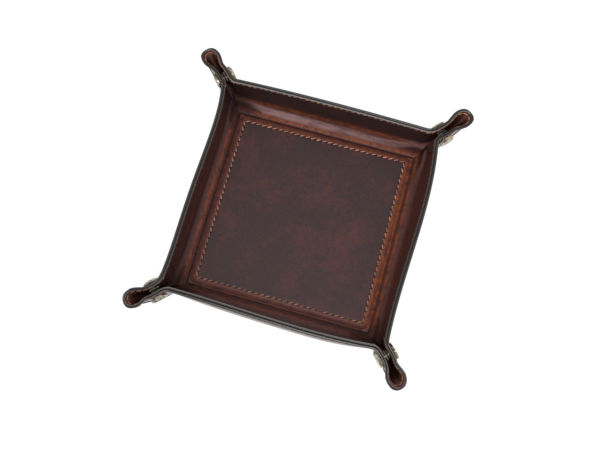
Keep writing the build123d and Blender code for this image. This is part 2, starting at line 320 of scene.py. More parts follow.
# %% [markdown]
# ## The rim of an ear
# The square corner of the sheet is folded on its diagonal, so the rim falls gently from the
# wall to the tip and is rounded there. A smooth minimum of two straight lines gives that.
# Trimming a taller ear with a boolean would leave ragged triangles, so every column of points
# is drawn up to this line instead.

# %% The rim of an ear
rim_corner = diagonal * wall_out(0, rim_height)
tip_out = (
    rim_height + rim_corner * tan(rim_fall) - sheet + diagonal * crease_half * tan(slope)
) / (tan(slope) + tan(rim_fall))
tip_up = rim_height - (tip_out - rim_corner) * tan(rim_fall)
tip_room, tip_softness = 2.5, 1.2


def soft_minimum(first, second):
    """The lower of two levels, rounded where they cross."""
    parts = [exp(-(value - rim_height) / tip_softness) for value in (first, second)]
    return -tip_softness * log(sum(parts)) + rim_height


def rim_level(along):
    falling = rim_height - (along - rim_corner) * tan(rim_fall)
    at_tip = tip_up - (along - tip_out - tip_room) / tan(slope)
    return min(rim_height, soft_minimum(falling, at_tip))


def top_level(part, share, depth, soft):
    """The level at which a column of the ear reaches the rim."""
    return halved(
        foot_height,
        rim_height,
        lambda up: up < rim_level(ear_section(part, share, depth, up, soft)[0]),
    )[0]


print("ear tip at", round(tip_out, 2), "along and", round(tip_up, 2), "up")

# %% [markdown]
# ## One sheet of leather
# Every leather piece starts as a flat grid that is extruded once, so that it has its thickness
# and closed edges. Its points are then moved to the folded place: an operator can't fold a
# sheet over four curves at once. Rows near the rim draw the two faces together, as an edge
# slicker rounds a cut edge. One painted attribute says where the leather is dyed and worn, a
# second where painted sheen, painted shade and a painted highlight fall, and a third keeps
# each point's place at rest, so that the grain rides on the leather.

# %% Helper: select and finish a mesh
def select_only(piece):
    bpy.ops.object.select_all(action="DESELECT")
    piece.select_set(True)
    bpy.context.view_layer.objects.active = piece


def finish_mesh(piece, angle=40):
    """Faces outward and smooth, except over edges sharper than angle."""
    select_only(piece)
    bpy.ops.object.mode_set(mode="EDIT")
    bpy.ops.mesh.select_all(action="SELECT")
    bpy.ops.mesh.normals_make_consistent(inside=False)
    bpy.ops.object.mode_set(mode="OBJECT")
    bpy.ops.object.shade_smooth_by_angle(angle=radians(angle))


# %% Helper: a flat sheet
def flat_sheet(name, columns, rows):
    """A grid from -0.5 to 0.5 each way, one unit thick."""
    bpy.ops.object.select_all(action="DESELECT")
    bpy.ops.mesh.primitive_grid_add(x_subdivisions=columns - 1, y_subdivisions=rows - 1, size=1)
    piece = bpy.context.object
    piece.name = piece.data.name = name
    bpy.ops.object.mode_set(mode="EDIT")
    bpy.ops.mesh.select_all(action="SELECT")
    bpy.ops.mesh.extrude_region_move(
        TRANSFORM_OT_translate={"value": (0, 0, -1), "orient_type": "GLOBAL"}
    )
    bpy.ops.object.mode_set(mode="OBJECT")
    return piece


# %% Helper: a folded sheet
def folded_sheet(name, columns, rows, place, dye=None):
    """place(column, row, face) gives a point in mm; face 0 is the inside, 1 the back.
    dye(column, row, face) gives pull-up, edge, red, painted sheen, shade and highlight, 0 to 1."""
    piece = flat_sheet(name, columns, rows)
    mesh = piece.data
    dyes, painted_lights = [], []
    for vertex in mesh.vertices:
        column = round((vertex.co.x + 0.5) * (columns - 1))
        row = round((vertex.co.y + 0.5) * (rows - 1))
        face = 1 if vertex.co.z < -0.5 else 0
        vertex.co = Vector(place(column, row, face)) * MM
        pull, edge, red, sheen, shade, highlight = dye(column, row, face) if dye else (0,) * 6
        dyes += [pull, edge, red, 1]
        # painted_lights: the painted sheen, painted shade and painted highlight of each point
        painted_lights += [sheen, shade, highlight, 1]
    finish_mesh(piece)
    for attribute, values in (("dye", dyes), ("painted_light", painted_lights)):
        colour = mesh.color_attributes.new(attribute, "FLOAT_COLOR", "POINT")
        colour.data.foreach_set("color", values)
    rest = mesh.attributes.new("rest", "FLOAT_VECTOR", "POINT")
    rest.data.foreach_set("vector", [value for vertex in mesh.vertices for value in vertex.co])
    return piece


# %% Helper: rounded edges, rows of places and quarter turns
edge_round = 0.6
sides = ["north", "west", "south", "east"]
corners = ["north_east", "north_west", "south_west", "south_east"]
layers = {"inner": (0, inner_leather), "outer": (inner_leather + glue_line, sheet)}


def rounding(from_edge):
    """How far a face has drawn in, from_edge mm from a rounded edge."""
    if from_edge >= edge_round:
        return 0
    return edge_round - sqrt(max(edge_round**2 - (edge_round - from_edge) ** 2, 0))


def spread(*spans):
    """Places from spans of (start, end, step), ends included once."""
    places = [spans[0][0]]
    for start, end, step in spans:
        count = max(1, round((end - start) / step))
        places += [start + (end - start) * (index + 1) / count for index in range(count)]
    return places


def turned(x, y, quarter):
    for _ in range(quarter):
        x, y = -y, x
    return x, y


print("a span of 3 mm in steps of 1:", spread((0, 3, 1)))

# %% [markdown]
# ## Leather
# The colour has three parts of its own: dark brown mottled with red, an orange pull-up where
# the waxes are pushed aside at creases, and dark edge paint at the rim. Over them lies painted
# light: a lilac-grey painted sheen over the band, painted shade in grooves, awl holes, corners
# and the ears' hollows, and a painted highlight on the rim's inner arris. They are mixed by
# the painted attributes and made patchy by noise. One picture could hold it all, but noise has
# no seams and no end of detail.

# %% Helper: nodes of a material
def node(tree, kind, **values):
    """A new node; a value goes to the input of that name, or else to the node itself."""
    made = tree.nodes.new(kind)
    for name, value in values.items():
        if name in made.inputs:
            made.inputs[name].default_value = value
        else:
            setattr(made, name, value)
    return made


def new_material(name):
    material = bpy.data.materials.new(name)
    material.use_nodes = True
    tree = material.node_tree
    return material, tree, tree.nodes["Principled BSDF"]


def noise(tree, place, scale, detail=3, rough=0.5, stretch=(1, 1, 1)):
    mapping = node(tree, "ShaderNodeMapping", Scale=stretch)
    tree.links.new(place, mapping.inputs["Vector"])
    made = node(tree, "ShaderNodeTexNoise", Scale=scale, Detail=detail, Roughness=rough)
    tree.links.new(mapping.outputs["Vector"], made.inputs["Vector"])
    return made.outputs["Fac"]


def separated(tree, attribute):
    """The three channels of a painted attribute."""
    painted = node(tree, "ShaderNodeAttribute", attribute_name=attribute)
    parts = node(tree, "ShaderNodeSeparateColor")
    tree.links.new(painted.outputs["Color"], parts.inputs["Color"])
    return parts.outputs


# %% Helper: sums and mixes of nodes
def math_node(tree, kind, first, second, clamp=False):
    made = node(tree, "ShaderNodeMath", operation=kind, use_clamp=clamp)
    for socket, value in zip(made.inputs, (first, second)):
        if isinstance(value, (int, float)):
            socket.default_value = value
        else:
            tree.links.new(value, socket)
    return made.outputs[0]


def mix_colour(tree, share, first, second):
    made = node(tree, "ShaderNodeMix", data_type="RGBA")
    sockets = made.inputs[0], made.inputs[6], made.inputs[7]
    for socket, value in zip(sockets, (share, first, second)):
        if isinstance(value, (int, float)):
            socket.default_value = value
        elif isinstance(value, tuple):
            socket.default_value = (*value, 1)
        else:
            tree.links.new(value, socket)
    return made.outputs[2]


def scaled_colour(tree, colour, amount):
    made = node(tree, "ShaderNodeVectorMath", operation="SCALE")
    tree.links.new(colour, made.inputs[0])
    tree.links.new(amount, made.inputs["Scale"])
    return made.outputs[0]


def in_range(tree, value, low, high, to_low=0.0, to_high=1.0):
    made = node(tree, "ShaderNodeMapRange")
    made.inputs["From Min"].default_value = low
    made.inputs["From Max"].default_value = high
    made.inputs["To Min"].default_value = to_low
    made.inputs["To Max"].default_value = to_high
    tree.links.new(value, made.inputs["Value"])
    return made.outputs["Result"]


def patchy(tree, amount, pattern, low, high, least, most):
    """A painted amount, weaker and stronger in patches."""
    patches = in_range(tree, pattern, low, high, least, most)
    return math_node(tree, "MULTIPLY", amount, patches, True)


# %% Helper: the leather's colour
# painted sheen: the lilac-grey laid over the band
painted_sheen_colour = (0.37, 0.225, 0.215)
edge_paint = (0.033, 0.0255, 0.0235)
# painted highlight: the pale colour laid on the rim's inner arris
painted_highlight_colour = (0.46, 0.45, 0.42)


def leather_patterns(tree, rest):
    """Noises from broad clouds to fine grain. Streaks run up the walls, drawn ones along x."""
    return {
        "broad": noise(tree, rest, 38, 4, 0.55),
        "blotch": noise(tree, rest, 210, 4, 0.6),
        "fine": noise(tree, rest, 1300, 3, 0.6),
        "streak": noise(tree, rest, 230, 4, 0.65, (1, 1, 0.09)),
        "drawn": noise(tree, rest, 260, 4, 0.65, (0.25, 1, 1.3)),
    }


def leather_colour(tree, pattern, dye, painted_light, dyes, streaks, mottled):
    dark, red, flush, pull = dyes
    broad = math_node(tree, "MULTIPLY", pattern["broad"], 0.6)
    blotch = math_node(tree, "MULTIPLY", pattern["blotch"], 0.4)
    redness = in_range(tree, math_node(tree, "ADD", broad, blotch), *mottled)
    if streaks:
        streaked = in_range(tree, pattern["streak"], 0.52, 0.72, 0.0, streaks)
        redness = math_node(tree, "ADD", redness, streaked, True)
    colour = mix_colour(tree, redness, dark, red)
    flushed = patchy(tree, dye["Blue"], pattern["blotch"], 0.36, 0.6, 0.45, 1.15)
    colour = mix_colour(tree, flushed, colour, flush)
    # painted sheen, patchy in streaks drawn along the band
    sheened = patchy(tree, painted_light["Red"], pattern["drawn"], 0.34, 0.62, 0.5, 1.2)
    colour = mix_colour(tree, sheened, colour, painted_sheen_colour)
    pulled = patchy(tree, dye["Red"], pattern["blotch"], 0.38, 0.58, 0.3, 1.3)
    colour = mix_colour(tree, pulled, colour, pull)
    speck = in_range(tree, pattern["fine"], 0.35, 0.7, 0.76, 1.24)
    # painted shade: the second painted channel darkens the colour
    shaded = in_range(tree, painted_light["Green"], 0, 1, 1.0, 0.12)
    colour = scaled_colour(tree, colour, math_node(tree, "MULTIPLY", speck, shaded))
    colour = mix_colour(tree, dye["Green"], colour, edge_paint)
    # painted highlight on the inner arris
    return mix_colour(tree, painted_light["Blue"], colour, painted_highlight_colour)


# %% Helper: the leather's shine and grain
def leather_roughness(tree, pattern, edge, shine):
    """Uneven shine; the painted edge is twice as glossy."""
    uneven = math_node(tree, "ADD", pattern["blotch"], pattern["fine"])
    gloss = in_range(tree, uneven, 0.7, 1.3, shine - 0.07, shine + 0.12)
    return math_node(tree, "MULTIPLY", gloss, in_range(tree, edge, 0, 1, 1.0, 0.5))


def leather_grain(tree, pattern, rest):
    """Pores and fine creases as a bump."""
    pores = node(tree, "ShaderNodeTexVoronoi", Scale=1500)
    tree.links.new(rest, pores.inputs["Vector"])
    fine = math_node(tree, "MULTIPLY", pattern["fine"], 0.7)
    height = math_node(
        tree, "ADD", fine, math_node(tree, "MULTIPLY", pores.outputs["Distance"], 0.5)
    )
    broad = math_node(tree, "MULTIPLY", pattern["blotch"], 1.2)
    bump = node(tree, "ShaderNodeBump", Strength=0.35, Distance=0.00012)
    tree.links.new(math_node(tree, "ADD", height, broad), bump.inputs["Height"])
    return bump.outputs["Normal"]


def leather(name, dyes, streaks=0.0, shine=0.42, specular=0.5, mottled=(0.42, 0.72)):
    """dyes are the dark, the red, the flushed and the pulled-up colour."""
    material, tree, shader = new_material(name)
    rest = node(tree, "ShaderNodeAttribute", attribute_name="rest").outputs["Vector"]
    dye, painted_light = separated(tree, "dye"), separated(tree, "painted_light")
    pattern = leather_patterns(tree, rest)
    colour = leather_colour(tree, pattern, dye, painted_light, dyes, streaks, mottled)
    roughness = leather_roughness(tree, pattern, dye["Green"], shine)
    tree.links.new(colour, shader.inputs["Base Color"])
    tree.links.new(roughness, shader.inputs["Roughness"])
    tree.links.new(leather_grain(tree, pattern, rest), shader.inputs["Normal"])
    shader.inputs["Specular IOR Level"].default_value = specular
    return material


# %% The three leathers
panel_dyes = (
    (0.050, 0.0275, 0.0287), (0.094, 0.034, 0.032), (0.122, 0.049, 0.048), (0.25, 0.070, 0.028)
)
wall_dyes = (
    (0.027, 0.017, 0.016), (0.055, 0.019, 0.015), (0.104, 0.028, 0.021), (0.27, 0.075, 0.034)
)
back_dyes = (
    (0.030, 0.015, 0.014), (0.078, 0.026, 0.019), (0.10, 0.032, 0.024), (0.15, 0.04, 0.02)
)
panel_leather = leather("panel_leather", panel_dyes, specular=0.22, mottled=(0.47, 0.68))
wall_leather = leather("inner_leather", wall_dyes, streaks=0.5, shine=0.38, specular=0.25)
back_leather = leather("outer_leather", back_dyes, shine=0.22, specular=0.55)
leather_of = {"inner": wall_leather, "outer": back_leather}
print("leathers:", panel_leather.name, wall_leather.name, back_leather.name)


# %% Helper: give a piece its material
def wear(piece, material):
    piece.data.materials.clear()
    piece.data.materials.append(material)


# %% [markdown]
# ## The base
# The lining is moulded over the board, so it stands up as a panel with a soft shoulder. The
# thread pulls it in along the stitches, and an awl has left a hole at each stitch's end. A
# height for each point of a square grid says all of that at once; sculpting could do it too,
# but not twice alike. The holes are smaller than the grid's squares would be, so the grid's
# lines are laid through them.

# %% Sizes of the panel and its stitching
stitch_line, stitch_count = 65.0, 29
stitch_pitch = 2 * stitch_line / stitch_count
shoulder_start, shoulder_end, corner_round = 65.7, 69.95, 1.5
panel_swell, swell_half, shoulder_curve = 0.12, 75, 1.9
panel_pull, under_pull = 0.3, 0.7
dent_width, dent_share, hole_length, past_corner = 0.75, 0.6, 0.6, 0.6
print("stitches every", round(stitch_pitch, 2), "mm")


# %% Helper: holes, dents and the panel's height
def from_square(x, y, half, rounded):
    """Distance outside a square with rounded corners; negative inside it."""
    dx, dy = abs(x) - half + rounded, abs(y) - half + rounded
    return sqrt(max(dx, 0) ** 2 + max(dy, 0) ** 2) + min(max(dx, dy), 0) - rounded


def peak(value, middle, width):
    """1 at the middle, fading to 0 on both sides."""
    return exp(-(((value - middle) / width) ** 2))


def along_sides(x, y):
    """Along and across the two sides of the square that a point may be near."""
    pairs = ((x, abs(y)), (y, abs(x)))
    reach = stitch_line + past_corner
    return [(along, across) for along, across in pairs if abs(along) < reach]


def awl_hole(x, y):
    """From 0 to 1 in the holes between the stitches, that both ends of the thread go down."""
    hole = 0
    for along, across in along_sides(x, y):
        from_hole = (along + stitch_line + stitch_pitch / 2) % stitch_pitch - stitch_pitch / 2
        hole = max(hole, peak(from_hole, 0, hole_length) * peak(across, stitch_line, dent_width))
    return hole


def stitch_dent(x, y, depth):
    """How deep the thread has pulled the leather in."""
    dent = 0
    for _, across in along_sides(x, y):
        dent = max(dent, dent_share * depth * peak(across, stitch_line, dent_width))
    return dent + depth * awl_hole(x, y)


def panel_height(x, y):
    share = from_square(x, y, shoulder_start, corner_round) / (shoulder_end - shoulder_start)
    fallen = min(max(share, 0), 1) ** shoulder_curve
    swell = panel_swell * (1 - (x / swell_half) ** 2) * (1 - (y / swell_half) ** 2)
    top = panel_top + swell
    return top - (top - sheet) * fallen - stitch_dent(x, y, panel_pull)


print("middle of the panel", round(panel_height(0, 0), 2), "mm up")

# %% Grid lines through the awl holes
hole_steps = (-0.8, -0.35, 0, 0.35, 0.8, stitch_pitch / 2)
hole_places = [index * stitch_pitch - stitch_line for index in range(1, stitch_count)]
near_holes = [hole + step for hole in hole_places for step in hole_steps][:-1]
past_holes, edge_step = 61.6, 0.4
panel_places = spread((-base_half, -past_holes, edge_step))
panel_places += near_holes + spread((past_holes, base_half, edge_step))


def panel_place(column, row, face):
    x, y = panel_places[column], panel_places[row]
    return x, y, panel_height(x, y) - face * inner_leather


print(len(panel_places), "grid lines each way")

# %% [markdown]
# ## Wear and painted shade round the crease
# Waxed leather turns orange where it is bent and red beside it, and painted shade darkens the
# pressed groove. Light and handling differ from side to side, so each side has its own
# amounts. This could be painted by hand on a picture, but it depends only on the run past the
# crease, so one function colours the panel's shoulder and the walls, and no seam shows
# between them.

# %% How each side has worn at its crease, and how dark its groove is painted
crease_pull = {"north": 1.0, "west": 0.75, "south": 0.25, "east": 0.8}
crease_middle = {"north": 0.9, "west": 2.3, "south": 2.6, "east": 1.7}
orange_below, orange_above = 1.1, 1.7
shoulder_pull = {"north": 0.45, "west": 0.16, "south": 0.22, "east": 0.8}
shoulder_red = {"north": 0.8, "west": 0.75, "south": 0.9, "east": 0.9}
groove = {  # middle, width and strength of its shade
    "north": (-1.9, 0.9, 0.62),
    "west": (-1.2, 1.1, 0.6),
    "south": (-0.5, 1.6, 0.6),
    "east": (-0.5, 1.3, 0.5),
}


def eased(value, start, length):
    """0 up to a start, and from there softly to 1 over a length."""
    return smooth((value - start) / length)


def crease_dye_and_shade(run, side):
    """Pull-up, red and painted shade at the crease; run is the way past it, negative on the
    base.
    """
    middle, width, strength = groove[side]
    past_panel = eased(run, -7.4, 0.8)
    shoulder = past_panel * (1 - eased(run, middle - 1.6, 1.8))
    orange_width = orange_below if run < crease_middle[side] else orange_above
    orange = peak(run, crease_middle[side], orange_width)
    red = past_panel * (1 - eased(run, 3, 4))
    pull = crease_pull[side] * orange + shoulder_pull[side] * shoulder
    # the third value is painted shade in the pressed groove
    return pull, shoulder_red[side] * red, strength * peak(run, middle, width)


for side in sides:
    print(side, "crease:", [round(value, 2) for value in crease_dye_and_shade(crease_middle[side], side)])

# %% The panel's dye and painted shade, side by side
worn_margin, side_blend = 9, 5


def side_shares(x, y):
    """How much a point of the base belongs to each of its four sides."""
    reach = {"north": y, "west": -x, "south": -y, "east": x}
    most = max(reach.values())
    shares = {side: max(0, 1 - (most - value) / side_blend) for side, value in reach.items()}
    return {side: share / sum(shares.values()) for side, share in shares.items()}


def panel_dye_and_shade(column, row, face):
    x, y = panel_places[column], panel_places[row]
    run = from_square(x, y, crease_half, corner_round)
    if run < -worn_margin:
        return (0,) * 6
    worn = [0, 0, 0]
    for side, share in side_shares(x, y).items():
        if share:
            worn = [so_far + share * part for so_far, part in zip(worn, crease_dye_and_shade(run, side))]
    pull, red, shade = worn
    # painted shade: the groove's, and the dark of each awl hole
    return min(pull, 1), 0, min(red, 1), 0, max(shade, awl_hole(x, y)), 0


# %% Panel leather over the board
panel_lines = len(panel_places)
panel = folded_sheet("panel_leather", panel_lines, panel_lines, panel_place, panel_dye_and_shade)
wear(panel, panel_leather)
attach(panel, "base")
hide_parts("inner_base")
print(panel.name, len(panel.data.polygons), "faces")

# %% [markdown]
# ## The underside
# The outer leather lies flat under the board. It needs fine squares only near its edges,
# where the thread dents it from below.

# %% Outer leather under the board
fine_edge = 63
under_places = spread(
    (-base_half, -fine_edge, 0.7), (-fine_edge, fine_edge, 1.5), (fine_edge, base_half, 0.7)
)


def under_place(column, row, face):
    x, y = under_places[column], under_places[row]
    return x, y, outer_leather if face == 0 else stitch_dent(x, y, under_pull)


under_lines = len(under_places)
under = folded_sheet("underside_leather", under_lines, under_lines, under_place)
wear(under, back_leather)
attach(under, "base")
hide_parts("outer_base")
print(under.name, len(under.data.polygons), "faces")

# %% [markdown]
# ## The walls
# Each wall is one sheet of lining and one of outer leather, from the base's edge through the
# crease to the rim. It turns about the crease when the tray is opened. A pressed groove marks
# the crease on the inside, and the thread pulls both faces in along the rim. Each end meets
# its corner's soft bend. Bones could bend a flat sheet up, but they would stretch it at the
# crease, so every point is placed by the section instead.

# %% Rows of a wall, and the bends at the corners
wall_runs = spread(
    (base_half - crease_half, 1.8, 0.2),
    (1.8, ear_start_run, 0.4),
    (ear_start_run, foot_run, 0.8),
    (foot_run, 15.5, 0.5),
    (15.5, wall_run - 4, 1.6),
    (wall_run - 4, wall_run - 1, 0.4),
    (wall_run - 1, wall_run - edge_round, 0.3),
    (wall_run - edge_round, wall_run, 0.15),
)
wall_columns = 49
rim_stitch_inset = 1.5
soft_bend = {
    "north_east": {"left": 10.5, "right": 3.2},
    "north_west": {"left": 3.0, "right": 5.5},
    "south_west": {"left": 7.0, "right": 11.0},
    "south_east": {"left": 7.0, "right": 8.0},
}
print(len(wall_runs), "rows,", wall_columns, "columns")

# %% Helper: the faces and the ends of a wall
rim_pull, rim_pull_width, bend_clearance = 0.3, 0.7, 0.02
groove_run, groove_width, groove_depth = -1.1, 0.55, 0.6


def relief(run, face, layer):
    """How far a face has been pressed in: the crease's groove and the line of the thread."""
    thread = rim_pull * peak(run, wall_run - rim_stitch_inset, rim_pull_width)
    if layer == "inner" and face == 0:
        return thread + groove_depth * peak(run, groove_run, groove_width)
    if layer == "outer" and face == 1:
        return -thread
    return 0


def drawn_depth(run, face, layer):
    """Depth of a face, with its relief and the rounding at the rim."""
    drawn = rounding(wall_run - run)
    return layers[layer][face] + (drawn if face == 0 else -drawn) + relief(run, face, layer)


def ear_size(run):
    """How much of the ear's full shape a row has, between its start and its foot."""
    return min(max((run - ear_start_run) / (foot_run - ear_start_run), 0), 1)


def wall_end(run, depth, soft):
    """Where the wall ends and the corner's bend starts."""
    out, up = profile(run, depth)
    if run <= ear_start_run:
        return out - bend_clearance
    along, across = ear_section(BEND, 0, depth, max(up, 0), soft, ear_size(run))
    return (along - across) / diagonal


print("half of the rim inside:", round(wall_end(wall_run, 0, 7.0), 2), "mm")

# %% [markdown]
# ## Sagging walls
# No soft wall stands quite true. Each has bowed in or out a little between its two ears, and
# the south one bellies out halfway up. A lattice could bend them, but three numbers for each
# wall can be judged from its rim: how far the middle has moved, how much more one end has
# than the other, and how much both ends add. At the crease and at the ears nothing moves, so
# that the press studs stay where the solids have them.

# %% How each wall has bowed
wall_bow = {  # middle, skew and ends, in mm
    "north": (1.35, -0.2, 0.0),
    "west": (-1.4, -2.3, -4.6),
    "south": (1.7, -2.0, 0.0),
    "east": (2.2, -3.8, 0.0),
}
wall_belly = {"north": 0.0, "west": 0.0, "south": 3.1, "east": 0.0}
bow_half, bow_rise, belly_skew, belly_ends = 75, 1.3, 0.3, 1.3


def bowed(side, x, up):
    """How far out a wall has sagged and bellied at a point."""
    middle, skew, ends = wall_bow[side]
    share = min(max(x / bow_half, -1), 1)
    rise = min(max((up - sheet) / (rim_height - sheet), 0), 1)
    bow = (middle + skew * share + ends * share**2) * (1 - share**2) * rise**bow_rise
    belly = wall_belly[side] * (1 - belly_skew * share) * (1 - share**4) ** belly_ends
    return bow + belly * sin(pi * rise)


print("bow at the rim:", {side: round(bowed(side, 0, rim_height), 2) for side in sides})

# %% [markdown]
# ## Wear and painted light on the walls
# Over the band lies a painted lilac-grey sheen, most on the north side, and a thin red line
# runs above it. Near the corners painted shade keeps the leather dark. The cut rim is painted;
# the rounded arrises beside it get painted shade, and the inner one a painted highlight. All of
# it follows the run and the place along the wall, so it is given as numbers, as the crease's
# wear is.

# %% How each wall has worn, with its painted sheen, shade and highlight
red_line = {  # middle, width and strength
    "north": (13.6, 2.5, 0.6),
    "west": (19.0, 3.0, 0.12),
    "south": (13.0, 2.0, 0.1),
    "east": (13.0, 5.0, 0.12),
}
# painted highlight on each side's inner arris
painted_highlight_of = {"north": 0.85, "west": 0.2, "south": 0.7, "east": 0.12}
# painted sheen on each side's band
painted_sheen_of = {"north": 1.0, "west": 0.22, "south": 0.2, "east": 0.22}
upper_red = {"north": 0.0, "west": 0.35, "south": 0.2, "east": 0.45}
# painted sheen near each corner
corner_painted_sheen = {"north_east": 0.7, "north_west": 0.45, "south_west": 0.25, "south_east": 0.2}
# painted shade near each corner
corner_shade = {"north_east": 0.2, "north_west": 0.8, "south_west": 0.6, "south_east": 0.6}
painted_sheen_climb = 6


def wall_corner(side, x):
    """The corner at this end of a wall."""
    quarter = sides.index(side)
    return corners[quarter] if x > 0 else corners[(quarter + 1) % 4]


def painted_sheen(run, side, x):
    """Painted sheen over the band; toward an ear it climbs and takes the corner's amount."""
    sheen = painted_sheen_of[side]
    if side == "north":
        sheen *= 0.62 + 0.38 * peak(x, -25, 36)
    toward = eased(abs(x), 48, 20)
    sheen += (corner_painted_sheen[wall_corner(side, x)] - sheen) * toward
    lift = run - painted_sheen_climb * toward
    return sheen * (eased(lift, 1, 4) * (1 - eased(lift, 7.5, 5)))


print("bloom on the north band:", round(painted_sheen(6, "north", 0), 2))


# %% Helper: a wall's dye and painted light
paint_width, arris_inset, arris_width = 0.1, 0.15, 0.12


def wall_dye_and_painted_light(run, side, x, inside):
    """Pull-up, edge, red, and painted sheen, shade and highlight of a point of a wall."""
    pull, red, shade = crease_dye_and_shade(run, side)
    middle, width, strength = red_line[side]
    line = peak(run, middle, width)
    # near: how much of the corner's painted shade reaches this point
    near = corner_shade[wall_corner(side, x)] * eased(abs(x), 52, 18)
    if side == "north":
        red += 0.35 * eased(x, 5, 45) * eased(run, 2, 3) * (1 - eased(run, 11, 4))
    red = max(red, upper_red[side] * eased(run, 4, 6), 0.8 * line) * (1 - 0.6 * near)
    pull = min((pull + strength * line) * (1 - near), 1)
    # painted sheen over the band
    sheen = painted_sheen(run, side, x) * (1 - 0.7 * near)
    edge = eased(run, wall_run - paint_width, paint_width)
    # painted shade on the rounded arrises by the rim
    arris_shade = 0.9 * eased(run, wall_run - 0.9, 0.4)
    # painted highlight on the inner arris
    highlight = painted_highlight_of[side] * peak(run, wall_run - arris_inset, arris_width) if inside else 0
    return pull, edge, red, sheen, max(shade, 0.5 * near, arris_shade), highlight


# %% Walls
def make_wall(layer, quarter):
    side = sides[quarter]
    right = soft_bend[corners[quarter]]["left"]
    left = soft_bend[corners[(quarter + 1) % 4]]["right"]

    def place(column, row, face):
        run = wall_runs[row]
        depth = drawn_depth(run, face, layer)
        out, up = profile(run, depth)
        share = column / (wall_columns - 1)
        x = -wall_end(run, depth, left) * (1 - share) + wall_end(run, depth, right) * share
        return (*turned(x, out + bowed(side, x, up), quarter), up)

    def dye(column, row, face):
        x = (column / (wall_columns - 1) - 0.5) * 2 * crease_half
        return wall_dye_and_painted_light(wall_runs[row], side, x, layer == "inner" and face == 0)

    wall = folded_sheet(f"{layer}_leather_{side}", wall_columns, len(wall_runs), place, dye)
    wear(wall, leather_of[layer])
    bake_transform(wall)
    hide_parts(f"{layer}_wall_{side}", f"fold_{side}")
    return wall


walls = [make_wall(layer, quarter) for layer in layers for quarter in range(4)]
print(len(walls), "wall sheets of", len(walls[0].data.polygons), "faces")

# %% [markdown]
# ## The ears
# Each half ear is two pieces for each leather: the leg with its bend out of the wall, and the
# loop. Their columns meet exactly, so no joint shows. The leather is skived thin there, so
# that it folds. Real ears never stand quite straight, so the tip of each is pulled out a
# little and turned to one side.

# %% Columns of an ear, and how each ear leans
leg_columns = [(BEND, index / 10) for index in range(11)]
leg_columns += [(LEG, (index + 1) / 6) for index in range(6)]
loop_columns = [(FLARE, index / 8) for index in range(9)]
loop_columns += [(LOOP, (index + 1) / 10) for index in range(10)]
ear_runs = [run for run in wall_runs if run >= ear_start_run - 1e-6]
lean_start, lean_quickness = 120.5, 2.2
bulb_width, bulb_closing = 1.08, 0.08
skive_ends = {BEND: (0, 0.2), LEG: (0.2, 0.28), FLARE: (0.28, 0.38), LOOP: (0.38, 0.38)}
ear_lean = {  # how far the tip is pulled outwards and to one side, in mm
    "north_east": (3.2, 2.0),
    "north_west": (2.2, 2.1),
    "south_west": (-0.4, -2.6),
    "south_east": (1.2, -3.4),
}
print(len(leg_columns), "columns in a leg,", len(loop_columns), "in a loop")


# %% Helper: lean, thin and place the ear
def leaning(corner, along, across):
    """A point of an ear whose tip has been pulled outwards and turned to one side."""
    stretch, sideways = ear_lean[corner]
    length, reach = tip_out - lean_start, max(along - lean_start, 0)
    angle = sideways / length * smooth(lean_quickness * reach / length)
    straight = along - reach + reach * cos(angle)
    pulled = straight + stretch * smooth(reach / length)
    return pulled - across * sin(angle), across * cos(angle) + reach * sin(angle)


def thinned(part, share, depth):
    """Depth in the skived sheet: all its faces draw together towards the back."""
    start, end = skive_ends[part]
    skived = start + (end - start) * (smooth(share) if part == BEND else share)
    return sheet - (sheet - depth) * (1 - skived)


def bulb(part, share):
    """How much wider the ear is at its end than the plain loop."""
    if part == FLARE:
        return 1 + (bulb_width - 1) * smooth(share)
    return bulb_width - bulb_closing * share if part == LOOP else 1


def ear_point(corner, half, along, across, column):
    """x and y of a point of an ear, in mm."""
    across *= bulb(*column)
    if half == "right":
        across = -across
    along, across = leaning(corner, along, across)
    x, y = (along - across) / diagonal, (along + across) / diagonal
    return turned(x, y, corners.index(corner))


# %% Helper: a point of an ear's sheet
tops = {}


def ear_place(corner, half, layer, column, run, face):
    """Over the bend, a row leaves the wall's level for its own share of the ear's height."""
    part, share = column
    soft = soft_bend[corner][half]
    depth = thinned(part, share, drawn_depth(run, face, layer))
    key = (column, round(depth, 3), soft)
    if key not in tops:
        tops[key] = top_level(part, share, depth, soft)
    of_wall = 1 - smooth(share) if part == BEND else 0
    share_up = (profile(run, 0)[1] - ear_start) / (rim_height - ear_start)
    of_ear = ear_start + share_up * (tops[key] - ear_start)
    height = of_wall * profile(run, depth)[1] + (1 - of_wall) * of_ear
    along, across = ear_section(part, share, depth, height, soft, ear_size(run))
    return (*ear_point(corner, half, along, across, column), height)


# %% [markdown]
# ## Wear and painted shade in the ears
# Inside a folded ear painted shade darkens the lining, most deep in the loop and less near the
# rim. Only near the rim is the fold pulled up red. The lamps alone would leave it too even.

# %% Helper: an ear's dye and painted light
cavity_shade = {"north_east": 0.8, "north_west": 0.85, "south_west": 0.97, "south_east": 0.97}
leg_shade = 0.85


